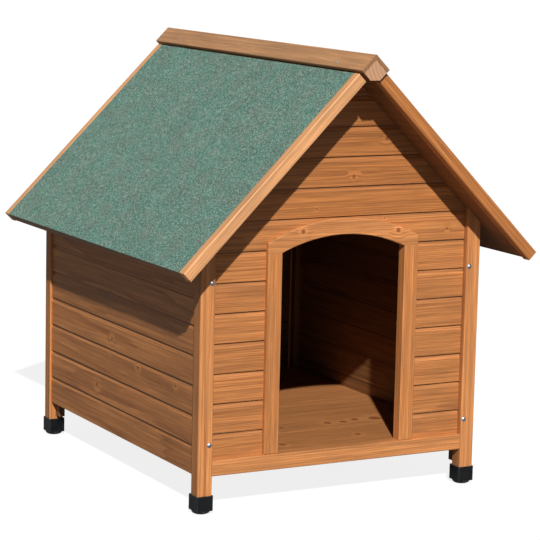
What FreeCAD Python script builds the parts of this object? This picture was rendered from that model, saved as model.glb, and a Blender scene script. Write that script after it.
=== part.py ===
"""Gabled dog house on four levelling feet, in millimetres.

Frame: +Z up, the front with the doorway faces -Y, +X to the viewer's right.
The origin lies on the ground under the middle of the bounding box.
Depths "d" are measured inwards from the outer face of an end wall's posts.
Roof slopes use "u" down the slope from the wall apex and "n" outwards from
the roof's underside.
"""
import FreeCAD, Part
import math
import os

V = FreeCAD.Vector

# ---- Driving dimensions ----------------------------------------------------
body_width = 700.0            # over the outer faces of the posts
body_depth = 840.0            # front post face to rear post face
eave_height = 599.9           # roof underside over the outer faces of the posts
roof_pitch_deg = 45.0

# corner posts, stained fir
post_width = 35.0
post_depth = 30.0
arris_radius = 3.0            # rounding of the outer edges of posts and trims
housing_depth = 5.0           # groove that takes the board ends

# weatherboards
board_thickness = 12.0
top_board_height = 42.1       # last gable board, up to the ridge beam
cove_height = 11.0
cove_depth = 3.5
cove_sagitta = 0.9
tongue_height = 7.0
tongue_clearance = 0.5
board_end_clearance = 0.5
end_board_setback = 14.0      # front and rear boards behind the post faces
side_board_setback = 5.0      # side boards inside the post faces

# bottom rails and floor
rail_bottom_height = 82.5
rail_height = 35.0
rail_setback = 1.0
rail_arris_radius = 2.5
board_seat_depth = 9.6        # first board's seat below the rail's top
floor_thickness = 12.0
floor_board_width = 237.0
floor_seam_offset = -12.0     # middle seam in front of the body's centre
floor_board_gap = 1.0
floor_side_clearance = 0.5
bearer_width = 30.0
bearer_reach = 275.0          # outer bearers' centre from the middle

# doorway
door_width = 307.0
arch_rise = 33.3
arch_width = 36.0             # measured square to the curve
arch_top_margin = 2.7         # between the arch's crown and the header board's top
jamb_width = 35.0
door_frame_thickness = 25.0
door_frame_setback = 3.0
door_arris = 1.5              # chamfer round the doorway

# battens inside the walls
corner_batten_thickness = 15.0
corner_batten_width = 20.0
corner_batten_foot_height = 48.5
gable_batten_width = 35.0
gable_batten_thickness = 15.0

# roof
deck_thickness = 19.0
felt_thickness = 2.5
panel_top_setback = 26.0      # upper ends of the panels, down from the apex
panel_length = 570.7
trim_thickness = 22.0
trim_drop = 4.0               # trim below the deck's underside
trim_proud = 0.5              # trim above the felt
trim_groove_width = 2.4
trim_groove_depth = 1.6
front_overhang = 94.0         # trim face in front of the post faces
rear_overhang = 48.0

# ridge
beam_side = 40.0
beam_panel_gap = 5.4
beam_corner_cut = 16.5        # lower corner planed off, along each side
beam_end_recess = 1.0
cap_thickness = 8.0
cap_overrun = 11.0            # beyond the trims, front and rear
cap_apex_radius = 3.0
cap_edge_radius = 2.0

# levelling feet
foot_cap_side = 40.0
foot_cap_wall = 2.2
foot_cap_bottom_height = 8.0
foot_cap_floor = 3.0
foot_cap_height = 33.2
foot_cap_corner_chamfer = 2.0
foot_cap_clearance = 0.2
foot_rib_thickness = 2.0
foot_rib_reach = 11.0         # ribs' distance from the cap's middle
foot_boss_side = 11.0
foot_boss_height = 8.0
foot_stem_radius = 4.0
foot_stem_length = 28.0
foot_stem_clearance = 0.05
foot_pad_radius = 20.0
foot_pad_rim_facets = 24       # flats of the rim, gripped to turn the pad
foot_pad_chamfer = 5.0
foot_pad_gap = 0.3            # under the cap when screwed right in
foot_mortise_clearance = 0.5  # round the boss and over the stem

# screws
frame_screw_inset = 27.0      # from the posts' outer faces
frame_screw_heights = (152.0, 502.5)
frame_screw_radius = 2.0
frame_screw_length = 40.0
frame_head_radius = 5.8
frame_head_height = 3.0
head_crown_share = 0.55       # flat crown of a screw head, of its radius
screw_clearance = 0.3
ridge_screw_end_distance = 122.0
ridge_screw_edge_distance = 12.4
ridge_screw_radius = 1.75
ridge_screw_length = 20.0
ridge_head_radius = 3.6
ridge_head_height = 1.6

# ---- Derived places --------------------------------------------------------
slope = math.radians(roof_pitch_deg)
slope_cos = math.cos(slope)
slope_sin = math.sin(slope)
half_width = body_width / 2
wall_apex_height = eave_height + half_width * math.tan(slope)
centre_y = (front_overhang - rear_overhang) / 2
front_face_y = centre_y - body_depth / 2
rear_face_y = centre_y + body_depth / 2
post_inner_x = half_width - post_width
rail_top = rail_bottom_height + rail_height
board_seat = rail_top - board_seat_depth
beam_flank_u = panel_top_setback - beam_panel_gap
beam_top_n = beam_side - beam_flank_u
beam_keel_n = beam_top_n - beam_side + beam_corner_cut
beam_bottom = wall_apex_height - beam_flank_u * slope_sin + beam_keel_n * slope_cos
rows_below_gable = 8
gable_rows = 5
cover_rows = rows_below_gable + gable_rows - 1
board_cover = (beam_bottom - top_board_height - board_seat) / cover_rows
header_top = board_seat + rows_below_gable * board_cover
board_end_reach = post_inner_x + housing_depth - board_end_clearance
jamb_inner_x = door_width / 2
jamb_outer_x = jamb_inner_x + jamb_width
spring_height = header_top - arch_top_margin - arch_width - arch_rise
arch_radius = (jamb_inner_x ** 2 + arch_rise ** 2) / (2 * arch_rise)
arch_centre_z = spring_height + arch_rise - arch_radius
board_back_d = end_board_setback + board_thickness
side_outer_x = half_width - side_board_setback
side_inner_x = side_outer_x - board_thickness
batten_inner_x = side_inner_x - corner_batten_thickness
roof_front_y = front_face_y - front_overhang
roof_rear_y = rear_face_y + rear_overhang
cap_front_y = roof_front_y - cap_overrun
cap_rear_y = roof_rear_y + cap_overrun
deck_front_y = roof_front_y + trim_thickness
deck_rear_y = roof_rear_y - trim_thickness
felt_top_n = deck_thickness + felt_thickness
trim_top_n = felt_top_n + trim_proud
panel_end_u = panel_top_setback + panel_length
post_bottom = foot_cap_bottom_height + foot_cap_floor
foot_centre_inset = foot_cap_side / 2 - foot_cap_wall - foot_cap_clearance
foot_pad_top = foot_cap_bottom_height - foot_pad_gap
ENDS = {"front": (front_face_y, 1), "rear": (rear_face_y, -1)}
SIDES = {"left": -1, "right": 1}


# ---- Shape helpers ---------------------------------------------------------
def box(x_range, y_range, z_range):
    """Box from three (low, high) pairs, given in either order."""
    lows = [min(pair) for pair in (x_range, y_range, z_range)]
    spans = [abs(pair[1] - pair[0]) for pair in (x_range, y_range, z_range)]
    return Part.makeBox(spans[0], spans[1], spans[2], V(*lows))


def prism(points, direction):
    """Closed polygon through the points, extruded along the direction."""
    wire = Part.makePolygon(points + [points[0]])
    return Part.Face(wire).extrude(direction)


def prism_xz(points, y_range):
    """Outline of (x, z) pairs, extruded along Y."""
    start, end = y_range
    return prism([V(x, start, z) for x, z in points], V(0, end - start, 0))


def mirrored(shape):
    """The same piece on the other side of the house."""
    return shape.mirror(V(0, 0, 0), V(1, 0, 0))


def on_side(shape_on_right, side):
    return shape_on_right if side > 0 else mirrored(shape_on_right)


def rounded(shape, radius, wanted):
    """Round the straight edges for which wanted(edge middle, edge) is true."""
    edges = [edge for edge in shape.Edges if wanted(edge.CenterOfMass, edge)]
    return shape.makeFillet(radius, edges)


def runs_along(edge, axis):
    """True for a straight edge parallel to the axis."""
    if len(edge.Vertexes) != 2:
        return False
    run = edge.Vertexes[1].Point - edge.Vertexes[0].Point
    return run.Length > 1e-6 and abs(abs(run.normalize().dot(axis)) - 1) < 1e-6


def near(value, target):
    return abs(value - target) < 0.01


def slope_point(u, n, y=0.0):
    """Point on the right-hand slope."""
    return V(u * slope_cos + n * slope_sin, y, wall_apex_height - u * slope_sin + n * slope_cos)


def slope_block(u_range, n_range, y_range):
    """Block that lies along the right-hand slope."""
    corners = [(u_range[0], n_range[0]), (u_range[1], n_range[0]),
               (u_range[1], n_range[1]), (u_range[0], n_range[1])]
    start, end = y_range
    return prism([slope_point(u, n, start) for u, n in corners], V(0, end - start, 0))


def under_roof(shape):
    """Trim a piece off where the roof's underside passes."""
    reach = body_width
    top = wall_apex_height
    outline = [(-reach, top - reach * math.tan(slope)), (0, top),
               (reach, top - reach * math.tan(slope)), (reach, top + reach), (-reach, top + reach)]
    return shape.cut(prism_xz(outline, (front_face_y - post_depth, rear_face_y + post_depth)))


def end_y(end, d):
    """Y of depth d inside the front or rear posts' outer faces."""
    face_y, inward = ENDS[end]
    return face_y + inward * d


# ---- Weatherboards ---------------------------------------------------------
def board_section(place, bottom, top, lapped_below, coved_top):
    """Section of a board as a face: place(d, z) maps depth and height to a point."""
    lip = cove_depth
    back = board_thickness
    foot = [(0, bottom), (back, bottom)]
    if lapped_below:
        rebate_top = bottom + tongue_height + tongue_clearance
        foot = [(0, bottom), (lip, bottom), (lip, rebate_top), (back, rebate_top)]
    points = [place(d, z) for d, z in foot]
    if not coved_top:
        points += [place(back, top), place(0, top)]
        return Part.Face(Part.makePolygon(points + [points[0]]))
    tip = top + tongue_height
    points += [place(back, tip), place(lip, tip), place(lip, top)]
    cove_foot = place(0, top - cove_height)
    belly = place(lip / 2 + cove_sagitta, top - cove_height / 2 - cove_sagitta * lip / cove_height)
    edges = Part.makePolygon(points).Edges
    edges.append(Part.Arc(points[-1], belly, cove_foot).toShape())
    edges.append(Part.makeLine(cove_foot, points[0]))
    return Part.Face(Part.Wire(edges))


def end_board(end, row, x_range, top=None):
    """Board of an end wall; row 0 stands in the rail, a given top ends it square."""
    bottom = board_seat + row * board_cover
    coved = top is None
    upper = bottom + board_cover if coved else top

    def place(d, z):
        return V(x_range[0], end_y(end, end_board_setback + d), z)

    section = board_section(place, bottom, upper, row > 0, coved)
    return section.extrude(V(x_range[1] - x_range[0], 0, 0))


def gable_boards(end):
    """Boards from the header up, cut to the roof and flat under the ridge beam."""
    boards = []
    for row in range(rows_below_gable, rows_below_gable + gable_rows):
        top = beam_bottom if row == cover_rows else None
        board = end_board(end, row, (-board_end_reach, board_end_reach), top)
        boards.append(under_roof(board))
    return boards


def front_slats(side):
    """Short boards between a front post and the door jamb."""
    inner = jamb_outer_x - housing_depth + board_end_clearance
    x_range = (inner, board_end_reach) if side > 0 else (-board_end_reach, -inner)
    return [under_roof(end_board("front", row, x_range)) for row in range(rows_below_gable - 1)]


def rear_wall_boards():
    x_range = (-board_end_reach, board_end_reach)
    return [under_roof(end_board("rear", row, x_range)) for row in range(rows_below_gable)]


def side_wall_boards(side):
    """Horizontal boards between the posts, the top one bevelled to the roof."""
    y_start = front_face_y + post_depth
    y_length = body_depth - 2 * post_depth
    eave_height = wall_apex_height - side_inner_x * math.tan(slope)
    boards = []
    bottom = rail_bottom_height
    while bottom < eave_height:
        last = bottom + board_cover + cove_height > eave_height

        def place(d, z):
            return V(side * (side_outer_x - d), y_start, z)

        top = eave_height + board_thickness if last else bottom + board_cover
        lapped = bottom > rail_bottom_height
        section = board_section(place, bottom, top, lapped, not last)
        boards.append(under_roof(section.extrude(V(0, y_length, 0))))
        bottom = eave_height if last else bottom + board_cover
    return boards


# ---- Frame -----------------------------------------------------------------
def frame_screw_places(end):
    """Head seats (x, y, z) on the right-hand post of an end."""
    x = half_width - frame_screw_inset
    return [V(x, ENDS[end][0], z) for z in frame_screw_heights]


def screw_bore(seat, inward, length):
    return Part.makeCylinder(frame_screw_radius + screw_clearance, length, seat, V(0, inward, 0))


def foot_place(end):
    """Centre of the right-hand foot of an end, on the ground."""
    return V(half_width - post_width / 2, end_y(end, foot_centre_inset), 0)


def corner_post(end, side):
    """Post with a grooved inner side, mortised for the foot and bored for the frame screws."""
    inward = ENDS[end][1]
    y_range = (end_y(end, 0), end_y(end, post_depth))
    post = box((post_inner_x, half_width), y_range, (post_bottom, wall_apex_height))
    post = rounded(post, arris_radius,
                   lambda middle, edge: runs_along(edge, V(0, 0, 1)) and near(middle.y, y_range[0]))
    groove_y = (end_y(end, end_board_setback), end_y(end, board_back_d))
    groove_x = (post_inner_x - housing_depth, post_inner_x + housing_depth)
    post = post.cut(box(groove_x, groove_y, (board_seat, wall_apex_height)))
    foot = foot_place(end)
    half = foot_boss_side / 2 + foot_mortise_clearance
    mortise_top = foot_pad_top + foot_stem_length + foot_mortise_clearance
    post = post.cut(box((foot.x - half, foot.x + half), (foot.y - half, foot.y + half), (0, mortise_top)))
    for seat in frame_screw_places(end):
        post = post.cut(screw_bore(seat, inward, post_depth))
    return on_side(under_roof(post), side)


def bottom_rail(end):
    """Rail between the posts; it holds the first boards and closes the floor."""
    y_range = (end_y(end, rail_setback), end_y(end, post_depth))
    rail = box((-post_inner_x, post_inner_x), y_range, (rail_bottom_height, rail_top))
    front_y = y_range[0]
    rail = rounded(rail, rail_arris_radius,
                   lambda middle, edge: runs_along(edge, V(1, 0, 0)) and near(middle.y, front_y))
    groove_y = (end_y(end, end_board_setback), end_y(end, board_back_d))
    inner = jamb_outer_x - housing_depth if end == "front" else 0.0
    groove = box((inner, post_inner_x), groove_y, (board_seat, rail_top))
    return rail.cut(groove).cut(mirrored(groove))


def door_jamb(side):
    """Upright beside the doorway, grooved for the slats on its outer side."""
    y_range = (end_y("front", door_frame_setback), end_y("front", door_frame_setback + door_frame_thickness))
    jamb = box((jamb_inner_x, jamb_outer_x), y_range, (rail_top, spring_height))
    front_y = y_range[0]
    arrises = [edge for edge in jamb.Edges
               if near(edge.CenterOfMass.y, front_y) and edge.CenterOfMass.z < spring_height]
    jamb = jamb.makeChamfer(door_arris, arrises)
    groove_x = (jamb_outer_x - housing_depth, jamb_outer_x)
    groove_y = (end_y("front", end_board_setback), end_y("front", board_back_d))
    return on_side(jamb.cut(box(groove_x, groove_y, (rail_top, spring_height))), side)


def arch_drum(radius):
    """Cylinder about the arch's axis, through the front wall."""
    centre = V(0, front_face_y - post_depth, arch_centre_z)
    return Part.makeCylinder(radius, 3 * post_depth, centre, V(0, 1, 0))


def door_core(margin):
    """Solid that fills the door frame's outline, its sides and arch moved in by a margin."""
    reach = jamb_outer_x - margin
    width = box((-reach, reach), (front_face_y - post_depth, front_face_y + 2 * post_depth), (0, header_top))
    return arch_drum(arch_radius + arch_width - margin).common(width)


def door_arch():
    """Arched piece on the two jambs, grooved for the header board."""
    y_range = (end_y("front", door_frame_setback), end_y("front", door_frame_setback + door_frame_thickness))
    blank = box((-half_width, half_width), y_range, (spring_height, header_top))
    arch = blank.common(door_core(0)).cut(arch_drum(arch_radius))
    front_y = y_range[0]
    arrises = [edge for edge in arch.Edges
               if near(edge.CenterOfMass.y, front_y) and edge.CenterOfMass.z > spring_height + door_arris]
    arch = arch.makeChamfer(door_arris, arrises)
    groove_y = (end_y("front", end_board_setback), end_y("front", board_back_d))
    groove = box((-half_width, half_width), groove_y, (spring_height, header_top))
    return arch.cut(groove.cut(door_core(housing_depth)))


def header_board():
    """Full-width board over the doorway, cut out to sit in the arch's groove."""
    board = end_board("front", rows_below_gable - 1, (-board_end_reach, board_end_reach))
    return under_roof(board.cut(door_core(housing_depth - board_end_clearance)))


def corner_battens():
    """Uprights inside the side walls that take the frame screws."""
    battens = []
    for end in ENDS:
        y_range = (end_y(end, post_depth), end_y(end, post_depth + corner_batten_width))
        batten = box((batten_inner_x, side_inner_x), y_range, (corner_batten_foot_height, wall_apex_height))
        for seat in frame_screw_places(end):
            depth = frame_screw_length + screw_clearance
            batten = batten.cut(screw_bore(seat, ENDS[end][1], depth))
        batten = under_roof(batten)
        battens += [batten, mirrored(batten)]
    return battens


def gable_battens(end):
    """Sloping battens behind the gable boards, under the roof panels."""
    y_range = (end_y(end, board_back_d), end_y(end, board_back_d + gable_batten_thickness))
    length_u = post_inner_x / slope_cos
    batten = slope_block((-gable_batten_width, length_u), (-gable_batten_width, 0), y_range)
    keep = box((0, post_inner_x), y_range, (header_top + tongue_height, beam_bottom))
    batten = batten.common(keep)
    return [batten, mirrored(batten)]


# ---- Floor -----------------------------------------------------------------
def floor_boards():
    """Boards across the house, the outer two ripped to fit and notched."""
    y_low = front_face_y + post_depth
    y_high = rear_face_y - post_depth
    seam = centre_y + floor_seam_offset
    seams = [seam - floor_board_width, seam, seam + floor_board_width]
    edges = [y_low] + seams + [y_high]
    reach = side_inner_x - floor_side_clearance
    notches = []
    for end in ENDS:
        y_range = (end_y(end, post_depth), end_y(end, post_depth + corner_batten_width + floor_side_clearance))
        notch = box((batten_inner_x - floor_side_clearance, half_width), y_range, (0, rail_top))
        notches += [notch, mirrored(notch)]
    boards = []
    for low, high in zip(edges, edges[1:]):
        start = low if low == y_low else low + floor_board_gap / 2
        stop = high if high == y_high else high - floor_board_gap / 2
        board = box((-reach, reach), (start, stop), (rail_top - floor_thickness, rail_top))
        for notch in notches:
            board = board.cut(notch)
        boards.append(board)
    return boards


def floor_bearers():
    """Bearers from rail to rail under the floor boards."""
    y_range = (front_face_y + post_depth, rear_face_y - post_depth)
    z_range = (rail_bottom_height, rail_top - floor_thickness)
    middles = (-bearer_reach, 0.0, bearer_reach)
    return [box((x - bearer_width / 2, x + bearer_width / 2), y_range, z_range) for x in middles]


# ---- Roof ------------------------------------------------------------------
def roof_layer(side, n_low, n_high):
    """One layer of a roof panel, between the rake trims."""
    layer = slope_block((panel_top_setback, panel_end_u), (n_low, n_high), (deck_front_y, deck_rear_y))
    return on_side(layer, side)


def rake_trim(end, side):
    """Trim along a rake with rounded arrises and a groove along its underside."""
    outer_y, inner_y = (roof_front_y, deck_front_y) if end == "front" else (roof_rear_y, deck_rear_y)
    inward = 1 if inner_y > outer_y else -1
    groove_y = outer_y + inward * (trim_thickness - trim_groove_width) / 2
    bottom = -trim_drop
    outline = [(outer_y, bottom), (groove_y, bottom),
               (groove_y + inward * trim_groove_width / 2, bottom + trim_groove_depth),
               (groove_y + inward * trim_groove_width, bottom),
               (inner_y, bottom), (inner_y, trim_top_n), (outer_y, trim_top_n)]
    points = [slope_point(panel_top_setback, n, y) for y, n in outline]
    along = slope_point(panel_length, 0) - slope_point(0, 0)
    trim = prism(points, along)
    direction = V(along).normalize()

    def outer_arris(middle, edge):
        return runs_along(edge, direction) and near(middle.y, outer_y)

    return on_side(rounded(trim, arris_radius, outer_arris), side)


# ---- Ridge -----------------------------------------------------------------
def symmetric_prism(right_points, y_range):
    """Outline from its right-hand points, mirrored in X and extruded along Y."""
    right = [(p.x, p.z) for p in right_points]
    left = [(-x, z) for x, z in reversed(right) if x > 0.001]
    return prism_xz(right + left, y_range)


def ridge_screw_frames():
    """Seats and directions of the screws through the cap's right flange."""
    seat_n = beam_top_n + cap_thickness
    seat_u = beam_flank_u - ridge_screw_edge_distance
    direction = slope_point(0, -1) - slope_point(0, 0)
    rows = (cap_front_y + ridge_screw_end_distance, cap_rear_y - ridge_screw_end_distance)
    return [(slope_point(seat_u, seat_n, y), direction) for y in rows]


def drill_ridge_screws(shape):
    for seat, direction in ridge_screw_frames():
        bore = Part.makeCylinder(ridge_screw_radius + screw_clearance,
                                 ridge_screw_length + screw_clearance, seat, direction)
        shape = shape.cut(bore).cut(mirrored(bore))
    return shape


def ridge_beam():
    """Square beam on edge between the panels, its lower corner planed flat."""
    apex = slope_point(-beam_top_n * math.tan(slope), beam_top_n)
    corner = slope_point(beam_flank_u, beam_top_n)
    keel = slope_point(beam_flank_u, beam_keel_n)
    y_range = (cap_front_y + beam_end_recess, cap_rear_y - beam_end_recess)
    return drill_ridge_screws(symmetric_prism([apex, corner, keel], y_range))


def ridge_cap():
    """One-piece angle moulding over the ridge beam."""
    outer_n = beam_top_n + cap_thickness
    outer_apex = slope_point(-outer_n * math.tan(slope), outer_n)
    inner_apex = slope_point(-beam_top_n * math.tan(slope), beam_top_n)
    outer_edge = slope_point(beam_flank_u, outer_n)
    inner_edge = slope_point(beam_flank_u, beam_top_n)
    outline = [(outer_apex.x, outer_apex.z), (outer_edge.x, outer_edge.z), (inner_edge.x, inner_edge.z),
               (0, inner_apex.z), (-inner_edge.x, inner_edge.z), (-outer_edge.x, outer_edge.z)]
    cap = prism_xz(outline, (cap_front_y, cap_rear_y))
    cap = rounded(cap, cap_apex_radius,
                  lambda middle, edge: runs_along(edge, V(0, 1, 0)) and near(middle.z, outer_apex.z))
    cap = rounded(cap, cap_edge_radius,
                  lambda middle, edge: runs_along(edge, V(0, 1, 0)) and near(middle.z, outer_edge.z))
    return drill_ridge_screws(cap)


# ---- Screws ----------------------------------------------------------------
def headed_screw(seat, direction, shank_radius, length, head_radius, head_height):
    """Screw with a bevelled head whose flat underside sits on the seat."""
    outline = [V(head_radius, 0, 0), V(shank_radius, 0, 0), V(shank_radius, 0, length), V(0, 0, length),
               V(0, 0, -head_height), V(head_crown_share * head_radius, 0, -head_height)]
    profile = Part.Face(Part.makePolygon(outline + [outline[0]]))
    screw = profile.revolve(V(0, 0, 0), V(0, 0, 1), 360)
    screw.Placement = FreeCAD.Placement(seat, FreeCAD.Rotation(V(0, 0, 1), direction))
    return screw


def frame_screws():
    screws = []
    for end, (face_y, inward) in ENDS.items():
        for seat in frame_screw_places(end):
            screw = headed_screw(seat, V(0, inward, 0), frame_screw_radius, frame_screw_length,
                                 frame_head_radius, frame_head_height)
            screws += [screw, mirrored(screw)]
    return screws


def ridge_screws():
    screws = []
    for seat, direction in ridge_screw_frames():
        screw = headed_screw(seat, direction, ridge_screw_radius, ridge_screw_length,
                             ridge_head_radius, ridge_head_height)
        screws += [screw, mirrored(screw)]
    return screws


# ---- Feet ------------------------------------------------------------------
def foot_cap(end, side):
    """Square moulded cap with gripping ribs and a threaded square boss."""
    foot = foot_place(end)
    inward = ENDS[end][1]
    half = foot_cap_side / 2
    bottom = foot_cap_bottom_height
    top = bottom + foot_cap_height
    shell = box((foot.x - half, foot.x + half), (foot.y - half, foot.y + half), (bottom, top))
    shell = shell.makeChamfer(foot_cap_corner_chamfer, [e for e in shell.Edges if runs_along(e, V(0, 0, 1))])
    grip = post_width / 2 + foot_cap_clearance
    pocket = half - foot_cap_wall
    shell = shell.cut(box((foot.x - grip, foot.x + grip), (foot.y - pocket, foot.y + pocket), (post_bottom, top)))
    rib_y = (end_y(end, post_depth), foot.y + inward * pocket)
    for offset in (-foot_rib_reach, foot_rib_reach):
        rib_x = (foot.x + offset - foot_rib_thickness / 2, foot.x + offset + foot_rib_thickness / 2)
        shell = shell.fuse(box(rib_x, rib_y, (post_bottom, top - foot_rib_thickness)))
    boss = foot_boss_side / 2
    shell = shell.fuse(box((foot.x - boss, foot.x + boss), (foot.y - boss, foot.y + boss),
                           (post_bottom, post_bottom + foot_boss_height)))
    thread = Part.makeCylinder(foot_stem_radius + foot_stem_clearance, top, foot)
    return on_side(shell.cut(thread).removeSplitter(), side)


def foot_pad(end, side):
    """Dished levelling pad on its stem; it screws down out of the cap."""
    foot = foot_place(end)
    turns = [math.tau * i / foot_pad_rim_facets for i in range(foot_pad_rim_facets)]
    corners = [foot + V(foot_pad_radius * math.cos(a), foot_pad_radius * math.sin(a), 0) for a in turns]
    disc = prism(corners, V(0, 0, foot_pad_top))
    disc = disc.makeChamfer(foot_pad_chamfer, [edge for edge in disc.Edges if near(edge.CenterOfMass.z, 0)])
    stem = Part.makeCylinder(foot_stem_radius, foot_stem_length, foot + V(0, 0, foot_pad_top))
    return on_side(disc.fuse(stem), side)


# ---- Parts -----------------------------------------------------------------
def single_parts():
    """Named pieces that are one solid each."""
    parts = {}
    for end in ENDS:
        for side_name, side in SIDES.items():
            place = end + "_" + side_name
            parts["corner_post_" + place] = corner_post(end, side)
            parts["foot_cap_" + place] = foot_cap(end, side)
            parts["foot_pad_" + place] = foot_pad(end, side)
            parts["rake_trim_" + place] = rake_trim(end, side)
    for side_name, side in SIDES.items():
        parts["door_jamb_" + side_name] = door_jamb(side)
        parts["roof_deck_" + side_name] = roof_layer(side, 0, deck_thickness)
        parts["roof_felt_" + side_name] = roof_layer(side, deck_thickness, felt_top_n)
        for number, slat in enumerate(front_slats(side), 1):
            parts["front_slat_%s_%d" % (side_name, number)] = slat
    for number, board in enumerate(gable_boards("front"), 1):
        parts["front_gable_board_%d" % number] = board
    parts["sill_rail"] = bottom_rail("front")
    parts["rear_rail"] = bottom_rail("rear")
    parts["door_arch"] = door_arch()
    parts["header_board"] = header_board()
    parts["ridge_beam"] = ridge_beam()
    parts["ridge_cap"] = ridge_cap()
    return parts


def grouped_parts():
    """Named groups of like pieces, each piece a solid of its own."""
    return {
        "rear_wall_boards": rear_wall_boards(),
        "rear_gable_boards": gable_boards("rear"),
        "left_wall_boards": side_wall_boards(SIDES["left"]),
        "right_wall_boards": side_wall_boards(SIDES["right"]),
        "wall_battens": corner_battens(),
        "front_gable_battens": gable_battens("front"),
        "rear_gable_battens": gable_battens("rear"),
        "floor_boards": floor_boards(),
        "floor_bearers": floor_bearers(),
        "frame_screws": frame_screws(),
        "ridge_screws": ridge_screws(),
    }


def main():
    os.makedirs("parts", exist_ok=True)
    parts = single_parts()
    for name, solids in grouped_parts().items():
        parts[name] = Part.makeCompound(solids)
    for name, shape in sorted(parts.items()):
        if not shape.isValid():
            raise ValueError("invalid shape: " + name)
        shape.exportStep("parts/" + name + ".step")
    print(len(parts), "nodes,", sum(len(shape.Solids) for shape in parts.values()), "solids")


main()
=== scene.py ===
"""Looks of the gabled dog house: stained fir, mineral felt, black plastic and zinc screws, in a pale studio.

Metres, +Z up, the doorway faces -Y. The walls and the roof are the frame's own pieces with their
finishes; the screws and the levelling pads are modelled here around the places that the frame gives.
"""

import math

import bpy
from bpy.props import FloatProperty, FloatVectorProperty, IntProperty, PointerProperty
from bpy.types import Operator, Panel, PropertyGroup
from mathutils import Matrix, Vector


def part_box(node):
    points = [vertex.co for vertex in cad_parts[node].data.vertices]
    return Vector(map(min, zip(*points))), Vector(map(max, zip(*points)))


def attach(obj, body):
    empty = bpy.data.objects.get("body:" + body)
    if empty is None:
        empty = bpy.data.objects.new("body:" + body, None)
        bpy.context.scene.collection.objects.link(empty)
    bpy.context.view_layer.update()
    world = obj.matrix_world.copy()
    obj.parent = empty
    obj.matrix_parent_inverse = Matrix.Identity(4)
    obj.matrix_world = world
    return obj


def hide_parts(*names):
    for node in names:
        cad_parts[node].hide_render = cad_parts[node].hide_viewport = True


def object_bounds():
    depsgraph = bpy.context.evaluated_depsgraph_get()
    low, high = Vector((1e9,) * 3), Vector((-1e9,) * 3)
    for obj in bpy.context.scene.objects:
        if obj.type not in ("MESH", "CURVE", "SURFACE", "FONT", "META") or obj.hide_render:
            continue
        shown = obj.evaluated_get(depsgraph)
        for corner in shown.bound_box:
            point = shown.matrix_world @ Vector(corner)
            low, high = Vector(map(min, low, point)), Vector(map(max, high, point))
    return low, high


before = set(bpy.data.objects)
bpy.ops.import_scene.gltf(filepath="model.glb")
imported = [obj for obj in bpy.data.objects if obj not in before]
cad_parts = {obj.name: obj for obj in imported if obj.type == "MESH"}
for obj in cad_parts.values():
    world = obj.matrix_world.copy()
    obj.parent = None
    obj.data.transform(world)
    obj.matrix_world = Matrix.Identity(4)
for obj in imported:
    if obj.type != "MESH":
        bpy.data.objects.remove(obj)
CAD_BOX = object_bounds()

bl_info = {
    "name": "Gabled dog house",
    "version": (1, 0, 0),
    "blender": (4, 5, 0),
    "location": "3D View > Sidebar > Dog house",
    "description": "Finishes the dog house's pieces and sets up its studio",
    "category": "Object",
}

MM = 0.001
X_AXIS = Vector((1, 0, 0))
Y_AXIS = Vector((0, 1, 0))
Z_AXIS = Vector((0, 0, 1))
PLACES = [(end, side) for end in ("front", "rear") for side in ("left", "right")]

NOISE_SPREAD = {"From Min": 0.3, "From Max": 0.7}  # a noise texture hardly leaves this range
MIX_A, MIX_B, MIX_RESULT = 6, 7, 2                 # sockets of a Mix node that blends colours
WAVE_RING = math.tau / 20                          # scale of a wave texture with one ring a metre
ARRIS = 1.2 * MM                                   # width over which an edge is drawn rounded and pale, a painted highlight
SUNLIGHT = (1.0, 0.965, 0.915)
FLOOR_SIZE = 160.0
FLOOR_SHADED, FLOOR_GLOW = 0.22, 0.85              # together they clip to white outside the shadow

# Brightness of the pieces beside the stain's own colour.
POST_TONES = (1.05, 1.12)                          # left and right
# Painted shade: the posts' faces that look along X are drawn this much darker, for the weaker light on them.
SIDE_FACE_SHADE_TONE = 0.72
JAMB_TONES = {"door_jamb_left": 0.98, "door_jamb_right": 1.08}
RAIL_TONE = 1.05
SLAT_TONES = (0.90, 0.86, 0.93, 0.88, 0.94, 0.87, 0.91)
GABLE_TONES = (0.90, 0.86, 0.82, 0.86, 0.84)
HEADER_TONE = 0.89
REAR_TONE = 0.9
# Painted shade: the side walls are drawn darker for the weaker light on them.
SIDE_WALL_SHADE_TONE = 0.80
# Painted shade: the boards' faces toward the room are drawn this dark, for the shade inside the house; the
# right wall's, where sun through the doorway falls, less so.
INSIDE_SHADE_TONE = 0.2
SIDE_WALL_INSIDE_SHADE_TONES = (INSIDE_SHADE_TONE, 0.45)     # left and right
FLOOR_TONE = 0.77
# Painted shade: the battens, bearers and roof decks, inside the house and under the roof, are drawn this dark
# for the shade there.
INNER_SHADE_TONES = {"wall_battens": 0.3, "front_gable_battens": 0.4, "rear_gable_battens": 0.4,
               "floor_bearers": 0.5, "roof_deck_left": 0.42, "roof_deck_right": 0.42}
BEAM_TONE = 0.35
CAP_TONE, CAP_FADED = 0.66, 0.9
# Lean of the fibres, tone and faded share of the rake trims.
TRIMS = {"left": (1, 1.0, 0.75), "right": (-1, 0.97, -0.2)}

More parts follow.
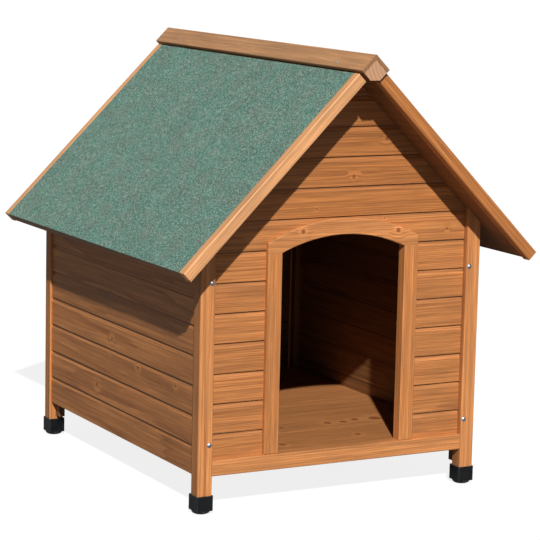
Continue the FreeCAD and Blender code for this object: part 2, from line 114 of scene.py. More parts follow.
# Knots by piece: centre on the visible face and radius, in millimetres.
KNOTS = {
    "door_arch": [(-104.8, -394, 602, 4.6), (134.9, -394, 594, 4.6)],
    "header_board": [(105.6, -383, 621.3, 2.4), (268.9, -383, 589.1, 2.6)],
    "front_gable_board_1": [(-67, -383, 648, 2.2)],
    "front_gable_board_2": [(24, -383, 715, 3.8)],
    "front_gable_board_3": [(105, -383, 796, 4.2)],
    "left_wall_boards": [(-345, 61, 302, 4.0), (-345, 70, 268, 2.5), (-345, -80, 263, 3.5),
                         (-345, -5, 228, 2.5), (-345, 143, 180, 4.5), (-345, 4, 201, 3.0),
                         (-345, -272, 258, 3.0)],
    "right_wall_boards": [(345, -210, 331, 4.2), (345, 120, 240, 3.0), (345, 255, 402, 3.5)],
    "rear_wall_boards": [(-190, 429, 305, 4.0), (95, 429, 190, 3.2), (170, 429, 450, 3.8)],
    "floor_boards": [(-29, -180, 117.5, 6.0), (-105, -324, 117.5, 8.0), (93, -179, 117.5, 8.5),
                     (133, -182, 117.5, 8.0), (170, -171, 117.5, 8.5), (220, -179, 117.5, 14.0),
                     (101, -303, 117.5, 7.0)],
}


# ---- Sizes and colours a user would change ---------------------------------
def linear(hex_colour):
    """sRGB hex to the linear RGB that nodes expect."""
    channels = [int(hex_colour[i:i + 2], 16) / 255 for i in (1, 3, 5)]
    return [c / 12.92 if c <= 0.04045 else ((c + 0.055) / 1.055) ** 2.4 for c in channels]


def length(name, description, value):
    """Property for a length in metres."""
    return FloatProperty(name=name, description=description, default=value, min=0.0, unit="LENGTH")


def colour(name, description, hex_colour):
    """Property for a colour, given in sRGB hex."""
    return FloatVectorProperty(name=name, description=description, default=linear(hex_colour),
                               min=0.0, max=1.0, size=3, subtype="COLOR")


class KennelTimber(PropertyGroup):
    """Stained fir."""
    early: colour("Earlywood", "Pale wood between the growth rings' dark lines", "#CB8851")
    late: colour("Latewood", "Dark lines of the growth rings", "#92532A")
    # Painted highlight along the arrises, and pale weathered wood where a piece is faded.
    wear_and_highlight: colour("Pale arris and weathered wood", "Pale wood that weather brought out, and the painted highlight on arrises", "#E6AE7C")
    knot: colour("Knot", "Heart of a knot", "#7C4320")
    ring_width: length("Ring width", "Between two growth rings, as they show on a sawn face", 3.5 * MM)
    fibre_width: length("Fibre width", "Fine streaks, drawn as coarse as they need to show", 2.2 * MM)
    stripe_width: length("Stripe width", "Broad streaks along the fibres", 7.0 * MM)
    board_cover: length("Board cover", "Visible height of a weatherboard", 65.2 * MM)
    # Painted shade: the top of each board, under the lip of the one above, is darkened this far down.
    lip_shade_height: length("Lip shade height", "Painted shade under a board's lip, up to this far under the joint", 5.0 * MM)
    raw_end: colour("Raw end grain", "The ridge beam's ends, hardly stained", "#CFA07C")
    dark_end: colour("Stained end grain", "End grain that took the stain dark", "#A27650")
    end_ring_width: length("End ring width", "Between two growth rings on end grain", 9.0 * MM)


class KennelRoof(PropertyGroup):
    """Mineral felt."""
    felt: colour("Felt", "Slate granules in their common green", "#4A7C70")
    felt_grey: colour("Greyed felt", "Granules that weather has greyed", "#5E756B")
    felt_pale: colour("Pale granules", "Granules turned to the light", "#A3C0B4")
    felt_dark: colour("Dark granules", "Gaps that show the bitumen", "#2B4740")
    granule: length("Granule", "Slate granule, drawn as coarse as it needs to show", 1.7 * MM)


class KennelFittings(PropertyGroup):
    """Screws and levelling feet."""
    plastic: colour("Plastic", "Black moulded plastic", "#06090D")
    # Painted highlight: colour drawn along the caps' corners.
    edge_highlight: colour("Plastic edge highlight", "Painted highlight along the corners", "#6E747C")
    zinc: colour("Zinc", "Zinc plate with a blue passivation", "#B9C2D0")
    frame_screw_inset: length("Frame screw inset", "From a post's outer face", 27.0 * MM)
    frame_screw_low: length("Lower frame screw", "Height above the ground", 152.0 * MM)
    frame_screw_high: length("Upper frame screw", "Height above the ground", 502.5 * MM)
    frame_head_radius: length("Frame screw head radius", "Over the domed head", 5.8 * MM)
    frame_head_height: length("Frame screw head height", "Above the post's face", 3.0 * MM)
    frame_shank_radius: length("Frame screw shank radius", "Over the thread", 2.0 * MM)
    frame_screw_length: length("Frame screw length", "Under the head", 40.0 * MM)
    ridge_screw_end: length("Ridge screw end distance", "From the cap's ends", 122.0 * MM)
    ridge_screw_edge: length("Ridge screw edge distance", "From the cap's lower edges", 12.4 * MM)
    beam_side: length("Beam side", "Side of the square ridge beam", 40.0 * MM)
    cap_thickness: length("Cap thickness", "Of the moulding over the ridge beam", 8.0 * MM)
    ridge_head_radius: length("Ridge screw head radius", "Over the domed head", 3.6 * MM)
    ridge_head_height: length("Ridge screw head height", "Above the cap's face", 1.6 * MM)
    ridge_shank_radius: length("Ridge screw shank radius", "Over the thread", 1.75 * MM)
    ridge_screw_length: length("Ridge screw length", "Under the head", 20.0 * MM)
    pad_base: length("Pad base", "Radius of the flat under a levelling pad", 7.0 * MM)
    pad_dish: length("Pad dish", "Height of a levelling pad's rounded base", 6.5 * MM)
    pad_top: length("Pad top", "Height of a levelling pad without its stem", 7.6 * MM)
    stem_radius: length("Stem radius", "Over the stem's thread", 4.0 * MM)
    stem_pitch: length("Stem pitch", "Between two crests of the stem's thread", 1.5 * MM)
    segments: IntProperty(name="Segments", description="Facets round a turned piece", default=40, min=12)


class KennelStudio(PropertyGroup):
    """Camera, light and floor."""
    camera: FloatVectorProperty(name="Camera", description="Place of the camera", unit="LENGTH",
                                default=(-2.4581, -4.5744, 1.2877), size=3)
    yaw: FloatProperty(name="Yaw", description="Turn of the view from the doorway's axis",
                       default=math.radians(28.543), subtype="ANGLE")
    pitch: FloatProperty(name="Pitch", description="Downward tilt of the view",
                         default=math.radians(9.13), subtype="ANGLE")
    roll: FloatProperty(name="Roll", description="Lean of the camera",
                        default=math.radians(1.309), subtype="ANGLE")
    lens: FloatProperty(name="Focal length", description="On a 36 mm square sensor", default=150.4)
    sun: FloatVectorProperty(name="Key light", description="Direction in which the key light travels",
                             default=(0.44, 1.0, -0.82), size=3, subtype="XYZ")
    sun_power: FloatProperty(name="Key power", description="Irradiance of the key light", default=3.9)
    sun_softness: FloatProperty(name="Key softness", description="Angle that the key light fills",
                                default=math.radians(1.2), subtype="ANGLE")
    fill: FloatProperty(name="Fill", description="Light from the white room around", default=0.11)
    mirrored: FloatProperty(name="Mirrored room", description="Brightness of the room in glossy surfaces",
                            default=0.4)
    floor: colour("Floor", "Pale paper floor", "#888A8C")


# ---- Materials --------------------------------------------------------------
def add(tree, kind, inputs=None, output=0, **settings):
    """Add a node with its settings; an input is a value or the socket to link. Returns the named
    output, or all of them where output is None."""
    node = tree.nodes.new("ShaderNode" + kind)
    for key, value in settings.items():
        setattr(node, key, value)
    for key, value in (inputs or {}).items():
        if isinstance(value, bpy.types.NodeSocket):
            tree.links.new(value, node.inputs[key])
        else:
            node.inputs[key].default_value = value
    return node.outputs if output is None else node.outputs[output]


def new_material(name):
    """An empty material and its node tree."""
    material = bpy.data.materials.new(name)
    material.use_nodes = True
    material.node_tree.nodes.clear()
    return material, material.node_tree


def opaque(value):
    """RGB as the RGBA that a colour socket expects."""
    return (value[0], value[1], value[2], 1.0)


def stained_fir(node, grain, seed, tone=1.0, faded=0.0, joints=None, stacked=False, ends=None, side_shade=1.0,
                inside_shade=None):
    """Fir, planed and dipped in a honey brown stain: growth rings cut by the faces, fine fibre
    streaks, blotches where the stain took more or less, a painted highlight along the arrises,
    and a satin surface with the grain just felt.

    grain    direction of the fibres
    seed     draws the piece's own rings, streaks and blotches
    tone     brightness beside the stain's own colour
    faded    share of pale wood that weather brought out, below zero for the deepest stain
    joints   height of the lowest joint between weatherboards; under each joint the board is darkened, a painted shade
    stacked  true for a node of several boards, each with its own shade; it needs joints
    ends     colour of the end grain
    side_shade  painted shade: tone of the faces that look along X, for the weaker light on them
    inside_shade  axis, plane, inward direction and tone of painted shade on the faces toward the room, as
    inside_shade_of gives them
    """
    timber = bpy.context.scene.kennel_timber
    material, tree = new_material("stained_fir." + node)
    low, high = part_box(node)
    centre = (Vector(low) + Vector(high)) / 2
    here = add(tree, "TexCoord", output="Object")
    parts = add(tree, "SeparateXYZ", {0: here}, output=None)
    place = here
    if joints is not None:
        above = add(tree, "Math", {0: parts["Z"], 1: joints}, operation="SUBTRACT")
        inside = add(tree, "Math", {0: above, 1: timber.board_cover, 2: 0.0}, operation="WRAP")
    if stacked:
        row = add(tree, "Math", {0: above, 1: timber.board_cover}, operation="DIVIDE")
        number = add(tree, "Math", {0: row}, operation="FLOOR")
        place = add(tree, "CombineXYZ", {"X": parts["X"], "Y": parts["Y"], "Z": inside})
        centre.z = timber.board_cover / 2
        draw = add(tree, "Math", {0: number, 1: seed * 7.0}, operation="ADD")
        drawn = add(tree, "TexWhiteNoise", {"W": draw}, output=None, noise_dimensions="1D")
        moved = add(tree, "VectorMath", {0: drawn["Color"], 1: (3.0, 0.03, 0.03)}, operation="MULTIPLY")
        place = add(tree, "VectorMath", {0: place, 1: moved}, operation="ADD")

    # Fibres along X. The pith lies 18 to 42 mm from the piece's middle, so the faces cut the
    # rings in long arches, and a knot pushes them aside.
    turn = Vector(grain).rotation_difference(X_AXIS)
    middle = turn @ centre
    pith = Vector((1.7 * seed, 0.030 + 0.012 * math.sin(2.3 * seed), 0.026 * math.sin(4.1 * seed + 1)))
    fibres = add(tree, "Mapping", {"Vector": place, "Location": pith - middle, "Rotation": turn.to_euler()})
    slow = add(tree, "VectorMath", {0: fibres, 1: (0.6, 6.0, 6.0)}, operation="MULTIPLY")
    warp = add(tree, "TexNoise", {"Vector": slow, "Scale": 1.0, "Detail": 2.5, "Roughness": 0.45},
               output="Color")
    sway = add(tree, "VectorMath", {0: warp, 1: (-0.5, -0.5, -0.5)}, operation="ADD")
    sway = add(tree, "VectorMath", {0: sway, 1: (0.0, 0.03, 0.025)}, operation="MULTIPLY")
    log = add(tree, "VectorMath", {0: fibres, 1: sway}, operation="ADD")
    cores = []
    factors = []
    for x, y, z, radius in KNOTS.get(node, []):
        size = radius * MM
        away = add(tree, "VectorMath", {0: here, 1: (x * MM, y * MM, z * MM)}, output="Value",
                   operation="DISTANCE")
        push = add(tree, "MapRange", {"Value": away, "To Min": 0.9 * size, "To Max": 0.0,
                                      "From Max": 7 * size}, interpolation_type="SMOOTHSTEP")
        log = add(tree, "VectorMath", {0: log, 1: add(tree, "CombineXYZ", {"Y": push})}, operation="ADD")
        halo = add(tree, "MapRange", {"Value": away, "From Min": size, "From Max": 4 * size,
                                      "To Min": 1.2, "To Max": 1.0}, interpolation_type="SMOOTHSTEP")
        factors.append(halo)
        cores.append(add(tree, "MapRange", {"Value": away, "From Min": size * 0.8, "From Max": size * 1.4,
                                            "To Min": 0.8, "To Max": 0.0}, interpolation_type="SMOOTHSTEP"))
    drawn_out = add(tree, "VectorMath", {0: log, 1: (0.05, 1.0, 1.0)}, operation="MULTIPLY")
    rings = add(tree, "TexWave", {"Vector": drawn_out, "Scale": WAVE_RING / timber.ring_width,
                                  "Distortion": 3.0, "Detail": 2.0, "Detail Scale": 0.6},
                output="Fac", wave_type="RINGS", rings_direction="X", wave_profile="SAW")
    line = add(tree, "Math", {0: rings, 1: 2.6}, operation="POWER")

    across = 1 / timber.fibre_width
    streaks = add(tree, "VectorMath", {0: fibres, 1: (across / 40, across, across)}, operation="MULTIPLY")
    fibre = add(tree, "TexNoise", {"Vector": streaks, "Scale": 1.0, "Detail": 3.0, "Roughness": 0.65})
    stripes = 1 / timber.stripe_width
    bands = add(tree, "VectorMath", {0: log, 1: (stripes / 60, stripes, stripes)}, operation="MULTIPLY")
    band = add(tree, "TexNoise", {"Vector": bands, "Scale": 1.0, "Detail": 2.0})
    blotches = add(tree, "VectorMath", {0: fibres, 1: (6.0, 20.0, 20.0)}, operation="MULTIPLY")
    blotch = add(tree, "TexNoise", {"Vector": blotches, "Scale": 1.0, "Detail": 3.0})

    strength = add(tree, "MapRange", {"Value": blotch, **NOISE_SPREAD,
                                      "To Min": 0.15, "To Max": 0.85})
    dark = add(tree, "Math", {0: line, 1: strength}, operation="MULTIPLY")
    early = Vector(timber.early).lerp(Vector(timber.wear_and_highlight), faded)
    late = Vector(timber.late).lerp(Vector(timber.early), faded)
    paint = add(tree, "Mix", {"Factor": dark, MIX_A: opaque(early), MIX_B: opaque(late)},
                output=MIX_RESULT, data_type="RGBA")
    for source, least, most in ((fibre, 0.76, 1.24), (band, 0.80, 1.20), (blotch, 0.88, 1.12)):
        factors.append(add(tree, "MapRange", {"Value": source, **NOISE_SPREAD,
                                              "To Min": least, "To Max": most}))
    if stacked:
        factors.append(add(tree, "MapRange", {"Value": drawn["Value"], "To Min": 0.86, "To Max": 1.1}))
    # Painted shade: darker towards each joint, under the lip of the board above.
    if joints is not None:
        lip_shade = add(tree, "MapRange", {"Value": inside, "From Min": timber.board_cover - timber.lip_shade_height,
                                        "From Max": timber.board_cover, "To Min": 1.0, "To Max": 0.25})
        factors.append(lip_shade)

    facing = add(tree, "NewGeometry", output=None)
    normal = add(tree, "SeparateXYZ", {0: facing["True Normal"]}, output=None)
    # Painted shade: faces that look along X are darkened, for the weaker light on them.
    if side_shade != 1.0:
        side_facing = add(tree, "Math", {0: normal["X"]}, operation="ABSOLUTE")
        stain = add(tree, "MapRange", {"Value": side_facing, "From Min": 0.5, "From Max": 0.9,
                                       "To Min": 1.0, "To Max": side_shade})
        factors.append(stain)
    # Painted shade: beyond the plane, on the room's side, the colour is darkened for the shade inside.
    if inside_shade is not None:
        axis, plane, inward, inside_shade_tone = inside_shade
        behind = add(tree, "Math", {0: parts["XYZ"[axis]], 1: plane},
                     operation="GREATER_THAN" if inward > 0 else "LESS_THAN")
        stain = add(tree, "MapRange", {"Value": behind, "To Min": 1.0, "To Max": inside_shade_tone})
        factors.append(stain)
    level = tone
    for factor in factors:
        level = add(tree, "Math", {0: level, 1: factor}, operation="MULTIPLY")

    # Painted highlight: a pale band along every edge, where the bevel's normal turns from the face's.
    edge = add(tree, "Bevel", {"Radius": ARRIS}, samples=6)
    along = add(tree, "VectorMath", {0: edge, 1: facing["Normal"]}, output="Value", operation="DOT_PRODUCT")
    wear_and_highlight = add(tree, "MapRange", {"Value": along, "From Min": 0.995, "From Max": 0.90,
                                  "To Min": 0.0, "To Max": 0.6})
    patchy = add(tree, "Math", {0: wear_and_highlight, 1: fibre}, operation="MULTIPLY")
    paint = add(tree, "Mix", {"Factor": patchy, MIX_A: paint, MIX_B: opaque(timber.wear_and_highlight)},
                output=MIX_RESULT, data_type="RGBA")
    paint = add(tree, "VectorMath", {0: paint, "Scale": level}, operation="SCALE")
    if ends is not None:
        cut = add(tree, "VectorMath", {0: facing["True Normal"], 1: grain}, output="Value",
                  operation="DOT_PRODUCT")
        cut = add(tree, "Math", {0: cut}, operation="ABSOLUTE")
        cut = add(tree, "MapRange", {"Value": cut, "From Min": 0.85, "From Max": 0.9})
        off_centre = add(tree, "VectorMath", {0: fibres, 1: (0.0, 0.05, -0.05)}, operation="ADD")
        arcs = add(tree, "TexWave", {"Vector": off_centre, "Scale": WAVE_RING / timber.end_ring_width,
                                     "Distortion": 1.5, "Detail": 2.0, "Detail Scale": 0.3},
                   output="Fac", wave_type="RINGS", rings_direction="X", wave_profile="SIN")
        end_grain = add(tree, "Mix", {"Factor": arcs, MIX_A: opaque(ends), MIX_B: opaque(Vector(ends) * 0.8)},
                        output=MIX_RESULT, data_type="RGBA")
        paint = add(tree, "Mix", {"Factor": cut, MIX_A: paint, MIX_B: end_grain},
                    output=MIX_RESULT, data_type="RGBA")
    for core in cores:
        paint = add(tree, "Mix", {"Factor": core, MIX_A: paint, MIX_B: opaque(timber.knot)},
                    output=MIX_RESULT, data_type="RGBA")
    gloss = add(tree, "MapRange", {"Value": fibre, "To Min": 0.50, "To Max": 0.66})
    relief = add(tree, "Math", {0: line, 1: fibre}, operation="ADD")
    bump = add(tree, "Bump", {"Strength": 0.3, "Distance": 0.4 * MM, "Height": relief, "Normal": edge})
    surface = add(tree, "BsdfPrincipled", {"Base Color": paint, "Roughness": gloss, "IOR": 1.5,
                                           "Normal": bump})
    add(tree, "OutputMaterial", {"Surface": surface}, output=None)
    return material


def mineral_felt():
    """Bitumen felt with slate granules rolled into it: matt, with single granules that catch the light."""
    roof = bpy.context.scene.kennel_roof
    material, tree = new_material("mineral_felt")
    place = add(tree, "TexCoord", output="Object")
    grains = 1 / roof.granule
    tint = add(tree, "TexVoronoi", {"Vector": place, "Scale": grains}, output="Color")
    value = add(tree, "SeparateColor", {"Color": tint})
    cells = add(tree, "TexVoronoi", {"Vector": place, "Scale": grains}, output="Distance")
    cloud = add(tree, "TexNoise", {"Vector": place, "Scale": 16.0, "Detail": 3.0})
    flakes = add(tree, "TexNoise", {"Vector": place, "Scale": grains / 3, "Detail": 2.0})
    mixed = add(tree, "Math", {0: value, 1: flakes}, operation="ADD")
    pale = add(tree, "MapRange", {"Value": mixed, "From Min": 1.0, "From Max": 1.5, "To Max": 0.9})
    dark = add(tree, "MapRange", {"Value": mixed, "From Min": 0.8, "From Max": 0.35, "To Max": 0.9})
    weather = add(tree, "TexNoise", {"Vector": place, "Scale": 26.0, "Detail": 4.0, "Roughness": 0.6})
    grey = add(tree, "MapRange", {"Value": weather, "From Min": 0.42, "From Max": 0.62})
    paint = add(tree, "Mix", {"Factor": grey, MIX_A: opaque(roof.felt), MIX_B: opaque(roof.felt_grey)},
                output=MIX_RESULT, data_type="RGBA")
    paint = add(tree, "Mix", {"Factor": pale, MIX_A: paint, MIX_B: opaque(roof.felt_pale)},
                output=MIX_RESULT, data_type="RGBA")
    paint = add(tree, "Mix", {"Factor": dark, MIX_A: paint, MIX_B: opaque(roof.felt_dark)},
                output=MIX_RESULT, data_type="RGBA")
    level = add(tree, "MapRange", {"Value": cloud, **NOISE_SPREAD,
                                   "To Min": 0.93, "To Max": 1.07})
    paint = add(tree, "VectorMath", {0: paint, "Scale": level}, operation="SCALE")
    bump = add(tree, "Bump", {"Strength": 0.6, "Distance": 0.8 * MM, "Height": cells})
    surface = add(tree, "BsdfPrincipled", {"Base Color": paint, "Roughness": 0.9, "IOR": 1.55,
                                           "Normal": bump})
    add(tree, "OutputMaterial", {"Surface": surface}, output=None)
    return material


def black_polypropylene():
    """Polypropylene, injection moulded: near black, a fine spark-eroded texture and a soft broad shine."""
    fittings = bpy.context.scene.kennel_fittings
    material, tree = new_material("black_polypropylene")
    place = add(tree, "TexCoord", output="Object")
    texture = add(tree, "TexNoise", {"Vector": place, "Scale": 1 / (0.9 * MM), "Detail": 2.0})
    smear = add(tree, "TexNoise", {"Vector": place, "Scale": 1 / (14 * MM), "Detail": 2.0})
    gloss = add(tree, "MapRange", {"Value": smear, **NOISE_SPREAD,
                                   "To Min": 0.36, "To Max": 0.52})
    dust = add(tree, "MapRange", {"Value": smear, **NOISE_SPREAD,
                                  "To Min": 0.85, "To Max": 1.3})
    paint = add(tree, "VectorMath", {0: fittings.plastic, "Scale": dust}, operation="SCALE")
    # Painted highlight: the corners are drawn pale, along the edges that the bevel finds.
    edge = add(tree, "Bevel", {"Radius": ARRIS}, samples=6)
    normal = add(tree, "NewGeometry", output="Normal")
    along = add(tree, "VectorMath", {0: edge, 1: normal}, output="Value", operation="DOT_PRODUCT")
    wear_and_highlight = add(tree, "MapRange", {"Value": along, "From Min": 0.995, "From Max": 0.93,
                                  "To Min": 0.0, "To Max": 0.5})
    paint = add(tree, "Mix", {"Factor": wear_and_highlight, MIX_A: paint, MIX_B: opaque(fittings.edge_highlight)},
                output=MIX_RESULT, data_type="RGBA")
    bump = add(tree, "Bump", {"Strength": 0.15, "Distance": 0.2 * MM, "Height": texture, "Normal": edge})
    surface = add(tree, "BsdfPrincipled", {"Base Color": paint, "Roughness": gloss, "IOR": 1.49,
                                           "Normal": bump})
    add(tree, "OutputMaterial", {"Surface": surface}, output=None)
    return material


def zinc_plate(name):
    """Steel, zinc plated and blue passivated: bright, slightly clouded, with a soft reflection."""
    fittings = bpy.context.scene.kennel_fittings
    material, tree = new_material("zinc_plate." + name)
    place = add(tree, "TexCoord", output="Object")
    cloud = add(tree, "TexNoise", {"Vector": place, "Scale": 1 / (3 * MM), "Detail": 3.0})
    gloss = add(tree, "MapRange", {"Value": cloud, **NOISE_SPREAD,
                                   "To Min": 0.34, "To Max": 0.50})
    level = add(tree, "MapRange", {"Value": cloud, **NOISE_SPREAD,
                                   "To Min": 0.85, "To Max": 1.05})
    paint = add(tree, "VectorMath", {0: fittings.zinc, "Scale": level}, operation="SCALE")
    surface = add(tree, "BsdfPrincipled", {"Base Color": paint, "Metallic": 1.0, "Roughness": gloss})
    add(tree, "OutputMaterial", {"Surface": surface}, output=None)
    return material


def finish(piece, material):
    """Put a material on every slot of a piece."""
    if not piece.material_slots:
        piece.data.materials.append(material)
    for slot in piece.material_slots:
        slot.material = material


def finish_nodes(names, material_for):
    """Finish CAD nodes: material_for(name, number) gives each its material."""
    for number, name in enumerate(names):
        finish(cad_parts[name], material_for(name, number))


# ---- Modelling --------------------------------------------------------------
def clear_selection():
    """Leave edit mode with nothing selected."""
    if bpy.context.object and bpy.context.object.mode != "OBJECT":
        bpy.ops.object.mode_set(mode="OBJECT")
    bpy.ops.object.select_all(action="DESELECT")


def pick(piece):
    """Make the piece the only selected object, and the active one."""
    clear_selection()
    piece.select_set(True)
    bpy.context.view_layer.objects.active = piece


def apply_all(piece):
    """Bake the piece's place into its mesh."""
    pick(piece)
    bpy.ops.object.transform_apply(location=True, rotation=True, scale=True)


def turned(name, profile, segments):
    """A solid of revolution about Z, extruded ring by ring through (radius, height) pairs."""
    clear_selection()
    radius, height = profile[0]
    bpy.ops.mesh.primitive_circle_add(vertices=segments, radius=radius, fill_type="NGON",
                                      location=(0, 0, height))
    piece = bpy.context.object
    piece.name = name
    bpy.ops.object.transform_apply(location=True)
    bpy.ops.object.mode_set(mode="EDIT")
    bpy.ops.mesh.select_all(action="SELECT")
    for next_radius, next_height in profile[1:]:
        bpy.ops.mesh.extrude_region_move(TRANSFORM_OT_translate={"value": (0, 0, next_height - height)})
        share = next_radius / radius
        bpy.ops.transform.resize(value=(share, share, 1), center_override=(0, 0, next_height))
        radius, height = next_radius, next_height
    bpy.ops.mesh.select_all(action="SELECT")
    bpy.ops.mesh.normals_make_consistent(inside=False)
    bpy.ops.object.mode_set(mode="OBJECT")
    return piece


def cross_cutter(reach, width, depth, top):
    """Cutter for a cross recess: two tapered bars, points down."""
    taper = (0.35, 0.6, 1)
    bars = []
    for turn in (0, math.pi / 2):
        clear_selection()
        bpy.ops.mesh.primitive_cube_add(size=1, location=(0, 0, top - depth / 2), rotation=(0, 0, turn))
        bar = bpy.context.object
        bar.scale = (2 * reach, width, depth)
        bpy.ops.object.transform_apply(location=True, rotation=True, scale=True)
        bpy.ops.object.mode_set(mode="EDIT")
        bpy.ops.mesh.select_all(action="DESELECT")
        bpy.ops.object.mode_set(mode="OBJECT")
        for face in bar.data.polygons:
            face.select = face.normal.z < -0.9
        bpy.ops.object.mode_set(mode="EDIT")
        bpy.ops.transform.resize(value=taper)
        bpy.ops.object.mode_set(mode="OBJECT")
        bars.append(bar)
    return bars


def cut_away(piece, cutters):
    """Cut the cutters out of the piece and delete them."""
    for cutter in cutters:
        cut = piece.modifiers.new("cut", "BOOLEAN")
        cut.operation = "DIFFERENCE"
        cut.solver = "EXACT"
        cut.object = cutter
        pick(piece)
        bpy.ops.object.modifier_apply(modifier=cut.name)
        bpy.data.objects.remove(cutter, do_unlink=True)


def smooth(piece, angle):
    """Shade smooth, apart from edges sharper than the angle."""
    pick(piece)
    bpy.ops.object.shade_smooth_by_angle(angle=angle)


def domed_screw(name, head_radius, head_height, shank_radius, shank_length, segments):
    """Cross recessed screw with a domed head; its seat is at z = 0 and it points down."""
    dome = (head_radius ** 2 + head_height ** 2) / (2 * head_height)
    half = math.asin(head_radius / dome)
    steps = 7
    arc = [(dome * math.sin(half * (1 - i / steps)),
            dome * math.cos(half * (1 - i / steps)) - dome + head_height) for i in range(steps)]
    flat, seat = 0.15 * head_radius, head_radius * 0.96
    tip, point_length = 0.12 * shank_radius, 2.5 * shank_radius
    profile = [(tip, -shank_length), (shank_radius, -shank_length + point_length),
               (shank_radius, 0.0), (seat, 0.0)] + arc + [(flat, head_height)]
    screw = turned(name, profile, segments)
    reach, width, depth = 0.56 * head_radius, 0.2 * head_radius, 0.75 * head_height
    cut_away(screw, cross_cutter(reach, width, depth, top=head_height * 1.02))
    smooth(screw, math.radians(35))
    return screw


def copies_at(master, name, places):
    """Join copies of the master at (point, outward direction) places into one piece."""
    pieces = []
    for point, outward in places:
        copy = bpy.data.objects.new(name, master.data.copy())
        bpy.context.collection.objects.link(copy)
        turn = Vector(outward).to_track_quat("Z", "Y")
        copy.matrix_world = Matrix.Translation(point) @ turn.to_matrix().to_4x4()
        pieces.append(copy)
    bpy.data.objects.remove(master, do_unlink=True)
    clear_selection()
    for copy in pieces:
        copy.select_set(True)
    bpy.context.view_layer.objects.active = pieces[0]
    bpy.ops.object.join()
    piece = bpy.context.object
    piece.name = name
    apply_all(piece)
    return piece


# ---- Operators --------------------------------------------------------------
def inside_shade_of(name, tone=INSIDE_SHADE_TONE):
    """Axis, middle plane, inward direction and tone of a board's painted shade: beyond the plane, on the
    room's side, the colour is darkened for the shade inside.
    """
    low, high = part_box(name)
    axis = 0 if high[0] - low[0] < high[1] - low[1] else 1
    plane = (low[axis] + high[axis]) / 2
    room = (CAD_BOX[0][axis] + CAD_BOX[1][axis]) / 2
    return axis, plane, 1 if plane < room else -1, tone


class KENNEL_OT_frame_timber(Operator):
    """Finish the posts, rails, door jambs, arch and battens"""
    bl_idname = "kennel.frame_timber"
    bl_label = "Frame timber"

    def execute(self, context):
        finish_nodes(["corner_post_%s_%s" % place for place in PLACES],
                     lambda name, number: stained_fir(name, Z_AXIS, seed=1.3 + number,
                                                      tone=POST_TONES[number % 2], side_shade=SIDE_FACE_SHADE_TONE))
        finish_nodes(JAMB_TONES,
                     lambda name, number: stained_fir(name, Z_AXIS, seed=5.3 + number,
                                                      tone=JAMB_TONES[name], faded=-0.1))
        finish_nodes(["wall_battens"],
                     lambda name, number: stained_fir(name, Z_AXIS, seed=7.3, tone=INNER_SHADE_TONES[name]))
        finish_nodes(["sill_rail", "rear_rail", "door_arch"],
                     lambda name, number: stained_fir(name, X_AXIS, seed=11.7 + number, tone=RAIL_TONE))
        return {"FINISHED"}


class KENNEL_OT_weatherboards(Operator):
    """Finish the weatherboards and gable battens of the four walls"""
    bl_idname = "kennel.weatherboards"
    bl_label = "Weatherboards"

    def execute(self, context):
        slats = ["front_slat_%s_%d" % (side, row) for side in ("left", "right") for row in range(1, 8)]
        gable = ["front_gable_board_%d" % row for row in range(1, 6)]
        tones = SLAT_TONES * 2 + GABLE_TONES + (HEADER_TONE,)
        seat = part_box("front_slat_left_1")[0][2]
        finish_nodes(slats + gable + ["header_board"],
                     lambda name, number: stained_fir(name, X_AXIS, seed=2.9 + 1.37 * number,
                                                      tone=tones[number],
                                                      faded=-0.2 if "gable" in name else -0.1,
                                                      joints=seat, inside_shade=inside_shade_of(name)))
        finish_nodes(["rear_wall_boards", "rear_gable_boards"],
                     lambda name, number: stained_fir(name, X_AXIS, seed=5.1 + number, tone=REAR_TONE,
                                                      joints=seat, stacked=True, inside_shade=inside_shade_of(name)))
        finish_nodes(["left_wall_boards", "right_wall_boards"],
                     lambda name, number: stained_fir(name, Y_AXIS, seed=8.3 + number, tone=SIDE_WALL_SHADE_TONE,
                                                      joints=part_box(name)[0][2], stacked=True,
                                                      inside_shade=inside_shade_of(name, SIDE_WALL_INSIDE_SHADE_TONES[number])))
        finish_nodes(["front_gable_battens", "rear_gable_battens"],
                     lambda name, number: stained_fir(name, X_AXIS, seed=3.3 + number,
                                                      tone=INNER_SHADE_TONES[name]))
        return {"FINISHED"}


class KENNEL_OT_floor_timber(Operator):
    """Finish the floor boards and their bearers"""
    bl_idname = "kennel.floor_timber"
    bl_label = "Floor"

    def execute(self, context):
        finish_nodes(["floor_boards"],
                     lambda name, number: stained_fir(name, X_AXIS, seed=6.6, tone=FLOOR_TONE))
        finish_nodes(["floor_bearers"],
                     lambda name, number: stained_fir(name, Y_AXIS, seed=9.4, tone=INNER_SHADE_TONES[name]))
        return {"FINISHED"}


class KENNEL_OT_roof(Operator):
    """Finish the roof decks, the felt and the rake trims"""
    bl_idname = "kennel.roof"
    bl_label = "Roof"

    def execute(self, context):
        felt = mineral_felt()
        finish_nodes(["roof_felt_left", "roof_felt_right"], lambda name, number: felt)
        finish_nodes(["roof_deck_left", "roof_deck_right"],
                     lambda name, number: stained_fir(name, Y_AXIS, seed=4.2 + number,
                                                      tone=INNER_SHADE_TONES[name]))
        for number, (end, side) in enumerate(PLACES):
            name = "rake_trim_%s_%s" % (end, side)
            lean, tone, faded = TRIMS[side]
            along = Vector((1, 0, lean)).normalized()
            finish(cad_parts[name],
                   stained_fir(name, along, seed=7.2 + number, tone=tone, faded=faded))
        return {"FINISHED"}


class KENNEL_OT_ridge(Operator):
    """Finish the ridge beam and the moulding over it"""
    bl_idname = "kennel.ridge"
    bl_label = "Ridge"

    def execute(self, context):
        timber = context.scene.kennel_timber
        finish_nodes(["ridge_beam"],
                     lambda name, number: stained_fir(name, Y_AXIS, seed=12.5, tone=BEAM_TONE,
                                                      ends=timber.raw_end))
        finish_nodes(["ridge_cap"],
                     lambda name, number: stained_fir(name, Y_AXIS, seed=13.5, tone=CAP_TONE,
                                                      faded=CAP_FADED, ends=timber.dark_end))
        return {"FINISHED"}


